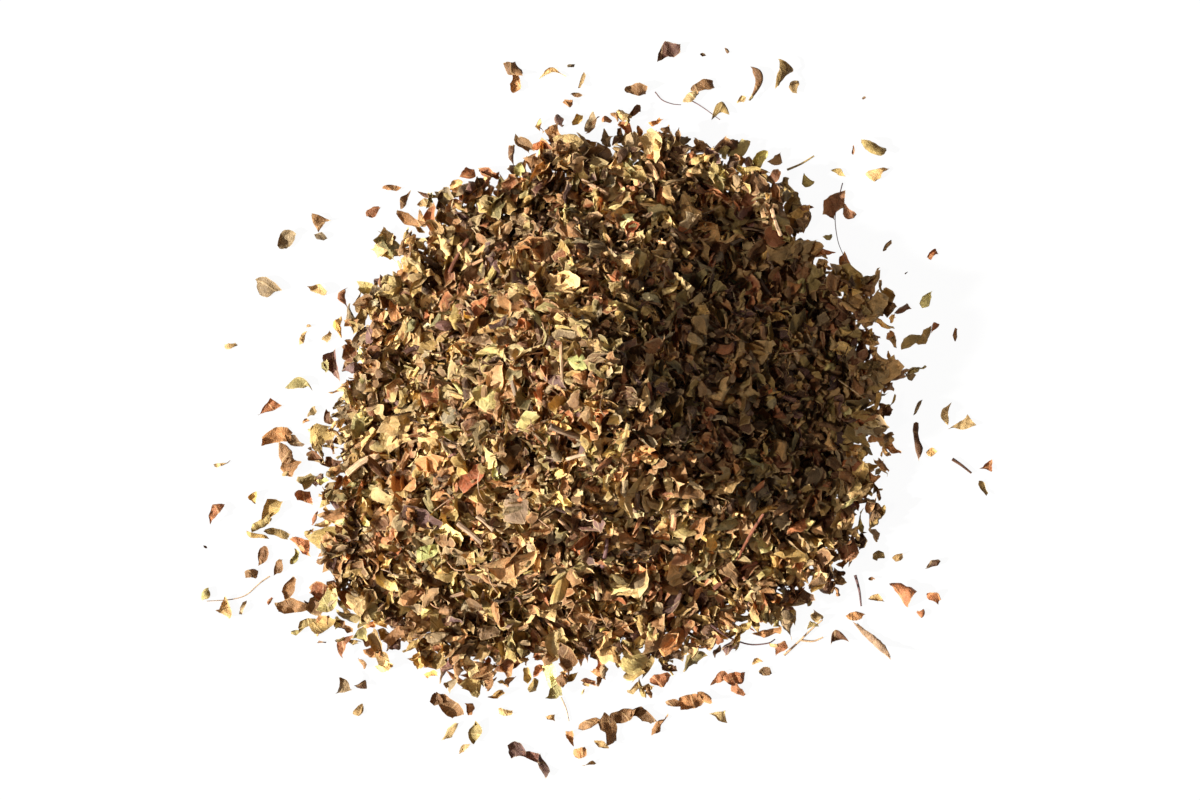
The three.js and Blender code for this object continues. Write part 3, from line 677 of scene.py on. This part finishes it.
def lowest_place():
    """A place on the heap, the lowest against the goal of a few drawn at random, or None if all are full."""
    angle = DRAW.uniform(0, math.tau, PLACES_TRIED)
    radius = DENSE_REACH * rim_radius(angle) * np.sqrt(DRAW.uniform(0, 1, PLACES_TRIED))
    x = PEAK[0] + radius * np.cos(angle)
    y = PEAK[1] + radius * np.sin(angle)
    cell = cell_of(x, y)
    room = goal[cell] + OVER_GOAL - filled[cell]
    best = np.argmax(room)
    return (x[best], y[best]) if room[best] > 0 else None


def draw_tint():
    """The name of a tint, drawn by how common it is."""
    weights = np.array([weight for _, weight in TINTS.values()], float)
    return DRAW.choice(list(TINTS), p=weights / weights.sum())


crumbs = {}


def keep(piece, points, closed, colour, shade=CRUMB_SHADE):
    """Add a settled crumb to a piece, in its colour a little lighter or darker."""
    lightness = math.exp(DRAW.normal(0, shade))
    warmth = DRAW.normal(0, WARMTH_SHARE * shade)
    tint = np.array(colour) * lightness * (1 + warmth, 1, 1 - warmth)
    crumbs.setdefault((piece, closed, points.shape), []).append((points, np.clip(tint, 0.01, 0.97)))


def draw_tilt():
    """How far a crumb leans: most a little, some far, and a few stand on edge."""
    sort = DRAW.uniform()
    if sort < FLAT_UP_TO:
        return abs(DRAW.normal(0, FLAT_SCATTER))
    return math.radians(DRAW.uniform(*(LEANING if sort < LEANING_UP_TO else STANDING)))


def drop(points, piece, closed, tint, tilt, bedded, raises=True):
    """Let one crumb fall on the heap, if there is room for it."""
    place = lowest_place()
    if place is None:
        return
    x, y = place
    out = math.hypot(x - PEAK[0], y - PEAK[1]) / rim_radius(math.atan2(y - PEAK[1], x - PEAK[0]))
    grown = points * (SIZE_AT_PEAK + (SIZE_AT_RIM - SIZE_AT_PEAK) * out)
    matrix = turned(heap_normal(x, y), tilt, *DRAW.uniform(0, math.tau, 2))
    keep(piece, settled(grown, x, y, matrix, bedded, raises), closed, colour_of(tint))


def under_view(x, y):
    """The place on the heap that the camera sees over a place on the surface."""
    seen = np.array([x, y], float)
    place = seen
    for _ in range(4):
        height = heap_height(*place)
        place = CAMERA_OVER + (seen - CAMERA_OVER) * (1 - height / CAMERA_HEIGHT)
    return place


def colour_of(tint):
    return OTHER_TINTS[tint] if tint in OTHER_TINTS else TINTS[tint][0]


def lay_out():
    """The larger leaves, stems and stalks on the heap, and the crumbs on the surface round it."""
    for tint, outline, x, y, length, width, turn in LEAVES_ON_HEAP:
        x, y = under_view(x, y)
        matrix = turned(heap_normal(x, y), SINGLE_LEAF_LEAN, DRAW.uniform(0, 6), math.radians(turn))
        points = settled(single(outline, length, width, 0.7), x, y, matrix, SINGLE_BEDDED, ground=tops)
        keep("single_leaf", points, False, colour_of(tint), SINGLE_SHADE)
    for tint, x, y, length, thickness, turn in STEMS_ON_HEAP:
        x, y = under_view(x, y)
        matrix = turned(heap_normal(x, y), SINGLE_STEM_LEAN, DRAW.uniform(0, 6), math.radians(turn))
        points = stems(np.array([length]), np.array([thickness]))[0]
        points = settled(points, x, y, matrix, BEDDED, ground=tops)
        keep("single_stem", points, True, colour_of(tint), SINGLE_SHADE)
    for tint, thickness, path in STALKS:
        places = []
        for x, y in path:
            x, y = under_view(x, y)
            across, away = cell_of(x, y)
            near = tops[across - 1:across + 2, away - 1:away + 2].mean()
            places.append((x, y, near + thickness / 2 + 0.1))
        keep("stalk", strand(places, thickness), True, colour_of(tint), SINGLE_SHADE)
    for prefix, rows in (("loose", LOOSE), ("small", SMALL_LOOSE)):
        for tint, *parts in rows:
            for x, y, length, width, turn, *outline in parts:
                tilt = abs(DRAW.normal(0, LOOSE_LEAN))
                matrix = turned(UP, tilt, DRAW.uniform(0, 6), math.radians(turn))
                points = single(outline[0] if outline else "shard", length, width)
                points = settled(points, x, y, matrix, LOOSE_BEDDED)
                colour = np.array(colour_of(tint)) * LOOSE_LIGHTER
                keep(f"{prefix}_{tint}", points, False, colour, LOOSE_SHADE)


def crumb_sizes(sort):
    """A random size for each crumb of a sort."""
    count, middle, scatter, low, high = SORTS[sort]
    return np.clip(np.exp(DRAW.normal(math.log(middle), scatter, count)), low, high)


def widths(length, low, high):
    """A random width for each crumb, between two shares of its length."""
    return length * DRAW.uniform(low, high, len(length))


def pour():
    """Everything that lies on the heap, falling in random order."""
    shard_length = crumb_sizes("shard")
    roll_length = crumb_sizes("roll")
    roll_width = widths(roll_length, 0.4, 0.8)
    chip_length = crumb_sizes("chip")
    sliver_length = crumb_sizes("sliver")
    calyx_length = crumb_sizes("calyx")
    batches = {
        "shard": shards(shard_length, widths(shard_length, 0.4, 0.9)),
        "roll": rolls(roll_length, roll_width),
        "chip": shards(chip_length, widths(chip_length, 0.45, 0.95), 5, 4),
        "sliver": shards(sliver_length, widths(sliver_length, 0.1, 0.28), 7, 3),
        "stem": stems(crumb_sizes("stem"), DRAW.uniform(0.5, 1.4, SORTS["stem"][0])),
        "thread": threads(crumb_sizes("thread"), DRAW.uniform(0.2, 0.42, SORTS["thread"][0])),
        "calyx": calyces(calyx_length),
        "dust": shards(crumb_sizes("dust"), crumb_sizes("dust width"), 3, 2),
    }
    order = [(sort, i) for sort, batch in batches.items() for i in range(len(batch))]
    DRAW.shuffle(order)
    # a third of the stems and threads fall last, so that they lie in full view
    order.sort(key=lambda one: one[0] in ("stem", "thread") and one[1] % 3 == 0)
    for sort, number in order:
        points = batches[sort][number]
        tint = draw_tint()
        if sort in ("shard", "roll", "chip", "sliver"):
            drop(points, tint, False, tint, draw_tilt(), BEDDED)
        elif sort == "dust":
            drop(points, "dust", False, tint, draw_tilt(), DUST_BEDDED, raises=False)
        elif sort == "calyx":
            drop(points, "calyx", True, "calyx", draw_tilt(), CALYX_BEDDED)
        else:
            drop(points, sort, True, "stem", abs(DRAW.normal(0, STEM_LEAN)), BEDDED)


def fringe():
    """The single layer at the foot, with the surface showing between its crumbs."""
    length = crumb_sizes("fringe")
    for points in shards(length, widths(length, 0.4, 0.9), curl=0.7):
        angle = DRAW.uniform(0, math.tau)
        radius = rim_radius(angle) + np.clip(DRAW.normal(FRINGE_OUT, FRINGE_SCATTER), *FRINGE_REACH)
        x = PEAK[0] + radius * math.cos(angle)
        y = PEAK[1] + radius * math.sin(angle)
        tint = draw_tint()
        tilt = abs(DRAW.normal(0, FRINGE_LEAN))
        matrix = turned(UP, tilt, *DRAW.uniform(0, math.tau, 2))
        keep(tint, settled(points, x, y, matrix, FRINGE_BEDDED), False, colour_of(tint))


# Meshes

def grid_faces(rows, columns, wraps):
    """The row, the column and the corners of each face of a grid, where wraps is how many go round."""
    row, column = np.divmod(np.arange((rows - 1) * wraps), wraps)
    ahead = (column + 1) % columns
    quad = np.stack([row * columns + column, (row + 1) * columns + column,
                     (row + 1) * columns + ahead, row * columns + ahead], axis=1)
    return row, column, quad


def piece_mesh(name, blocks):
    """One mesh of many crumbs, with a colour, a grain and a place of its own on the map for each."""
    places, tints, grains, faces, corners = [], [], [], [], []
    start = 0
    total = sum(len(points) for _, points, _ in blocks)
    side = math.ceil(math.sqrt(total))
    number = 0
    for closed, points, colours in blocks:
        count, rows, columns, _ = points.shape
        wraps = columns if closed else columns - 1
        row, column, quad = grid_faces(rows, columns, wraps)
        on_map = np.stack([
            np.stack([row, row + 1, row + 1, row], axis=1) / (rows - 1),
            np.stack([column, column, column + 1, column + 1], axis=1) / wraps,
        ], axis=2) * 0.9 + 0.05
        cell = number + np.arange(count)
        corner = np.stack([cell % side, cell // side], axis=1).reshape(count, 1, 1, 2)
        corners.append(((corner + on_map[None]) / side).reshape(-1, 2))
        each = rows * columns
        faces.append((quad[None] + start + each * np.arange(count).reshape(count, 1, 1)).reshape(-1, 4))
        places.append(points.reshape(-1, 3))
        length = np.linalg.norm(points[:, -1] - points[:, 0], axis=-1).mean(axis=1).reshape(count, 1, 1)
        width = np.linalg.norm(np.diff(points, axis=2), axis=-1).sum(axis=2).mean(axis=1)
        width = width.reshape(count, 1, 1)
        along = np.linspace(-0.5, 0.5, rows).reshape(1, rows, 1) * length
        across = np.linspace(-0.5, 0.5, columns).reshape(1, 1, columns) * width
        heading = 0.0 if closed else spread(0, math.tau, count)
        shift = spread(-0.9, 0.9, count) * width
        grain = np.stack(np.broadcast_arrays(
            along * np.cos(heading) - across * np.sin(heading),
            along * np.sin(heading) + across * np.cos(heading) + shift,
            cell.reshape(count, 1, 1) * 3.7), axis=-1)
        grains.append(grain.reshape(-1, 3))
        # Painted highlight: the outer rows and columns of a blade are marked, to be painted pale where its
        # edges catch the light.
        margin = np.zeros((count, rows, columns))
        if not closed and columns > 4:
            margin[:, [0, -1]] = 1
            margin[:, :, [0, -1]] = 1
        tint = np.repeat(colours, each, axis=0)
        tints.append(np.concatenate([tint, margin.reshape(-1, 1)], axis=1))
        start += count * each
        number += count
    places = np.concatenate(places) * MM
    faces = np.concatenate(faces)
    mesh = bpy.data.meshes.new(name)
    mesh.vertices.add(len(places))
    mesh.vertices.foreach_set("co", places.astype(np.float32).ravel())
    mesh.loops.add(faces.size)
    mesh.loops.foreach_set("vertex_index", faces.astype(np.int32).ravel())
    mesh.polygons.add(len(faces))
    mesh.polygons.foreach_set("loop_start", np.arange(0, faces.size, 4, dtype=np.int32))
    mesh.update(calc_edges=True)
    mesh.polygons.foreach_set("use_smooth", np.ones(len(faces), dtype=bool))
    mesh.set_sharp_from_angle(angle=CREASE)
    uv = mesh.uv_layers.new(name="OFBake")
    uv.data.foreach_set("uv", np.concatenate(corners).astype(np.float32).ravel())
    for own, kind, key, values in (("tint", "FLOAT_COLOR", "color", tints),
                                   ("grain", "FLOAT_VECTOR", "vector", grains)):
        layer = mesh.attributes.new(own, kind, "POINT")
        layer.data.foreach_set(key, np.concatenate(values).astype(np.float32).ravel())
    mesh.update()
    return mesh


def linear(colour):
    """Screen colours as light."""
    colour = np.asarray(colour, float)
    return np.where(colour <= 0.04045, colour / 12.92, ((colour + 0.055) / 1.055) ** 2.4)


def placed(name, data):
    """A new object in the scene."""
    thing = bpy.data.objects.new(name, data)
    bpy.context.scene.collection.objects.link(thing)
    return thing


def add_piece(name, mesh, material, slot, *nodes):
    mesh.materials.append(material)
    piece = placed(name, mesh)
    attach(piece, "root")
    if nodes:
        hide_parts(*nodes)


# Materials

class Nodes:
    """Short ways to add and join a material's nodes."""

    def __init__(self, name):
        self.material = bpy.data.materials.new(name)
        self.material.use_nodes = True
        self.tree = self.material.node_tree
        self.shader = self.tree.nodes["Principled BSDF"]

    def add(self, kind, inputs=None, **settings):
        node = self.tree.nodes.new(kind)
        for key, value in settings.items():
            setattr(node, key, value)
        self.put(node, inputs or {})
        return node

    def put(self, node, inputs):
        for key, value in inputs.items():
            if isinstance(value, bpy.types.NodeSocket):
                self.tree.links.new(value, node.inputs[key])
            else:
                node.inputs[key].default_value = value

    def math(self, operation, first, second=0.0):
        return self.add("ShaderNodeMath", {0: first, 1: second}, operation=operation).outputs[0]

    def ramp(self, value, low, high, start=0.0, end=1.0):
        ends = {"Value": value, "From Min": low, "From Max": high, "To Min": start, "To Max": end}
        return self.add("ShaderNodeMapRange", ends, interpolation_type="SMOOTHSTEP").outputs["Result"]

    def noise(self, vector, scale, detail=3.0, roughness=0.55):
        look = {"Vector": vector, "Scale": scale, "Detail": detail, "Roughness": roughness}
        return self.add("ShaderNodeTexNoise", look).outputs["Fac"]

    def mix(self, blend, factor, first, second):
        inputs = {0: factor, 6: first, 7: second}
        return self.add("ShaderNodeMix", inputs, data_type="RGBA", blend_type=blend).outputs[2]

    def shaded(self, colour, shade, blue=None):
        """A colour times a value, where its blue may have a value of its own."""
        parts = {"Red": shade, "Green": shade, "Blue": shade if blue is None else blue}
        return self.mix("MULTIPLY", 1.0, colour, self.add("ShaderNodeCombineColor", parts).outputs[0])

    def relief(self, height, strength, distance):
        """Bumps on the surface, up to distance high in metres."""
        bump = {"Height": height, "Strength": strength, "Distance": distance}
        normal = self.add("ShaderNodeBump", bump).outputs["Normal"]
        self.put(self.shader, {"Normal": normal})
        return normal


def leaf_material():
    """Dried leaf blade: mottled in its own tint, with paler veins, dark spots, a painted highlight on its
    margins and a crinkled face.
    """
    n = Nodes("dry_leaf")
    painted = n.add("ShaderNodeAttribute", attribute_name="tint")
    tint = painted.outputs["Color"]
    grain = n.add("ShaderNodeAttribute", attribute_name="grain").outputs["Vector"]
    split = n.add("ShaderNodeSeparateXYZ", {"Vector": grain})
    along = split.outputs["X"]
    off_rib = n.math("ABSOLUTE", split.outputs["Y"])
    rib = n.ramp(off_rib, 0.05, 0.26, 1.0, 0.0)
    slant = n.math("ADD", along, n.math("MULTIPLY", off_rib, 0.9))
    side = n.math("ABSOLUTE", n.math("SINE", n.math("MULTIPLY", slant, 2.4)))
    side = n.ramp(side, 0.0, 0.22, 0.7, 0.0)
    net = n.add("ShaderNodeTexVoronoi", {"Vector": grain, "Scale": 1.9}, feature="DISTANCE_TO_EDGE")
    net = n.ramp(net.outputs["Distance"], 0.0, 0.09, 0.45, 0.0)
    veins = n.math("MAXIMUM", n.math("MAXIMUM", rib, side), net)
    patch = n.noise(grain, 0.55, 4.0)
    speck = n.noise(grain, 5.0, 4.0, 0.65)
    shade = n.ramp(patch, 0.3, 0.72, 0.66, 1.16)
    shade = n.math("MULTIPLY", shade, n.ramp(speck, 0.25, 0.75, 0.8, 1.14))
    colour = n.shaded(tint, shade, n.math("MULTIPLY", shade, 0.97))
    stain = n.ramp(n.noise(grain, 1.3, 3.0, 0.6), 0.56, 0.72, 0.0, SPOTS)
    colour = n.mix("MIX", stain, colour, (*linear(DARK_SPOT), 1.0))
    vein_and_rim_highlight = n.mix("MIX", 0.5, tint, (*linear(PALE_VEIN_AND_RIM_HIGHLIGHT), 1.0))
    colour = n.mix("MIX", n.math("MULTIPLY", veins, VEINS), colour, vein_and_rim_highlight)
    # Painted highlight: the margins are painted pale, where the curled edges catch the light.
    colour = n.mix("MIX", n.ramp(painted.outputs["Alpha"], 0.62, 1.0, 0.0, 0.8), colour, vein_and_rim_highlight)
    n.put(n.shader, {"Base Color": colour, "Specular IOR Level": 0.35,
                     "Roughness": n.ramp(speck, 0.3, 0.7, LEAF_ROUGH - 0.1, LEAF_ROUGH + 0.12)})
    relief = n.math("ADD", n.math("MULTIPLY", speck, 0.15), n.math("MULTIPLY", veins, 0.35))
    normal = n.relief(n.math("ADD", relief, n.noise(grain, 1.6, 3.0)), 0.8, 0.0003)
    glow = n.mix("MULTIPLY", 1.0, colour, THROUGH_COLOUR)
    through = n.add("ShaderNodeBsdfTranslucent", {"Color": glow, "Normal": normal})
    both = n.add("ShaderNodeMixShader", {0: THROUGH_SHARE, 1: n.shader.outputs["BSDF"],
                                         2: through.outputs["BSDF"]})
    n.put(n.tree.nodes["Material Output"], {"Surface": both.outputs["Shader"]})
    return n.material


def stem_material():
    """Dried stem: fibres along it, with painted shade in the grooves and paler on the ridges."""
    n = Nodes("dry_stem")
    tint = n.add("ShaderNodeAttribute", attribute_name="tint").outputs["Color"]
    grain = n.add("ShaderNodeAttribute", attribute_name="grain").outputs["Vector"]
    drawn = n.add("ShaderNodeVectorMath", {0: grain, 1: (0.35, 4.0, 1.0)}, operation="MULTIPLY").outputs[0]
    fibre = n.noise(drawn, 1.6, 4.0, 0.6)
    patch = n.noise(grain, 0.6, 3.0)
    # Painted shade: darker where the fibres sink into grooves, paler on the ridges.
    shade = n.math("MULTIPLY", n.ramp(fibre, 0.3, 0.7, 0.6, 1.25), n.ramp(patch, 0.3, 0.7, 0.7, 1.25))
    n.put(n.shader, {"Base Color": n.shaded(tint, shade),
                     "Roughness": n.ramp(fibre, 0.3, 0.7, STEM_ROUGH - 0.08, STEM_ROUGH + 0.1)})
    n.relief(fibre, 0.9, 0.0002)
    return n.material


def shaded_mound_material():
    """The crumbs further in, which only show between the others: a crumbly ground painted dark as the shade
    there.
    """
    n = Nodes("shaded_inner_crumbs")
    place = n.add("ShaderNodeTexCoord").outputs["Object"]
    bits = n.add("ShaderNodeTexVoronoi", {"Vector": place, "Scale": 420.0}, feature="F1")
    shade = n.ramp(n.noise(place, 900.0), 0.3, 0.7, 0.5, 1.2)
    colour = n.mix("MIX", bits.outputs["Color"], (*linear(SHADED_INNER_DARK), 1.0), (*linear(SHADED_INNER_LIGHT), 1.0))
    n.put(n.shader, {"Base Color": n.shaded(colour, shade), "Roughness": 0.9})
    n.relief(bits.outputs["Distance"], 1.0, 0.002)
    return n.material


def mound_mesh():
    """The closed mound under the crumbs, flat below."""
    shares = np.concatenate([[0.002], np.linspace(0.05, 1, MOUND_RINGS)])
    angles = np.arange(MOUND_SIDES) * math.tau / MOUND_SIDES
    places = []
    for share in shares:
        radius = share * (rim_radius(angles) - MOUND_INSET)
        x = PEAK[0] + radius * np.cos(angles)
        y = PEAK[1] + radius * np.sin(angles)
        height = np.maximum(heap_height(x, y, MOUND_INSET) - MOUND_DEPTH, MOUND_EDGE)
        height = height + MOUND_ROUGHNESS * DRAW.uniform(-1, 0, len(angles)) * (share < 1)
        places.append(np.stack([x, y, height], axis=1))
    foot = places[-1].copy()
    foot[:, 2] = MOUND_FOOT
    places.append(foot)
    count = len(places)
    places = np.concatenate(places) * MM
    faces = grid_faces(count, MOUND_SIDES, MOUND_SIDES)[2].tolist()
    faces.append(list(range(MOUND_SIDES)))
    faces.append([(count - 1) * MOUND_SIDES + i for i in range(MOUND_SIDES)][::-1])
    mesh = bpy.data.meshes.new("shaded_inner_crumbs")
    mesh.from_pydata(places.tolist(), [], faces)
    mesh.update()
    return mesh


# The stage: floor, lights and camera

def floor():
    mesh = bpy.data.meshes.new("floor")
    mesh.from_pydata([(-4, -4, 0), (4, -4, 0), (4, 4, 0), (-4, 4, 0)], [], [(0, 1, 2, 3)])
    n = Nodes("white_floor")
    n.put(n.shader, {"Base Color": (FLOOR_WHITE, FLOOR_WHITE, FLOOR_WHITE, 1.0), "Roughness": 0.9,
                     "Specular IOR Level": 0.0, "Emission Color": (1.0, 1.0, 1.0, 1.0),
                     "Emission Strength": FLOOR_GLOW})
    mesh.materials.append(n.material)
    placed("floor", mesh)


def lights():
    for name, (elevation, strength, softness, colour) in LIGHTS.items():
        light = bpy.data.lights.new(name, "SUN")
        light.energy = strength
        light.angle = math.radians(softness)
        light.color = colour
        down = math.pi / 2 - math.radians(elevation)
        placed(name, light).rotation_euler = (0.0, down, math.atan2(LIGHT_FROM[1], LIGHT_FROM[0]))
    world = bpy.data.worlds.new("studio")
    world.use_nodes = True
    ground = world.node_tree.nodes["Background"]
    ground.inputs["Color"].default_value = FILL_COLOUR
    ground.inputs["Strength"].default_value = FILL_STRENGTH
    bpy.context.scene.world = world
    bpy.context.scene.view_settings.view_transform = "Standard"


def camera():
    lens = bpy.data.cameras.new("camera")
    lens.sensor_width = SENSOR_WIDTH
    lens.lens = SENSOR_WIDTH * CAMERA_HEIGHT / (PICTURE_WIDTH * PIXEL)
    lens.clip_start = 0.01
    lens.clip_end = 10.0
    eye = placed("camera", lens)
    eye.location = [place * MM for place in (*CAMERA_OVER, CAMERA_HEIGHT)]
    bpy.context.scene.camera = eye


floor()
lights()
camera()

pour()
fringe()
lay_out()

leaf = leaf_material()
stem = stem_material()
grouped = {}
for (piece, closed, _), found in crumbs.items():
    points = np.stack([one for one, _ in found])
    colours = linear(np.stack([tint for _, tint in found]))
    grouped.setdefault(piece, []).append((closed, points, colours))

SLOTS = {"dust": "heap_leaf", "calyx": "tan_leaf", "leaf": "tan_leaf"}
for piece, blocks in grouped.items():
    sort = piece.split("_")[-1]
    if sort in ("stem", "thread", "stalk"):
        material, slot = stem, "dry_stem"
    else:
        material, slot = leaf, SLOTS.get(sort, f"{sort}_leaf")
    nodes = SOLIDS.get(piece, ())
    if piece.startswith("loose_"):
        nodes = [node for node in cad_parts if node.startswith(piece + "_")]
    add_piece(f"{piece}_crumbs", piece_mesh(f"{piece}_crumbs", blocks), material, slot, *nodes)

add_piece("shaded_inner_crumbs", mound_mesh(), shaded_mound_material(), "heap_leaf", "crushed_leaf_heap")
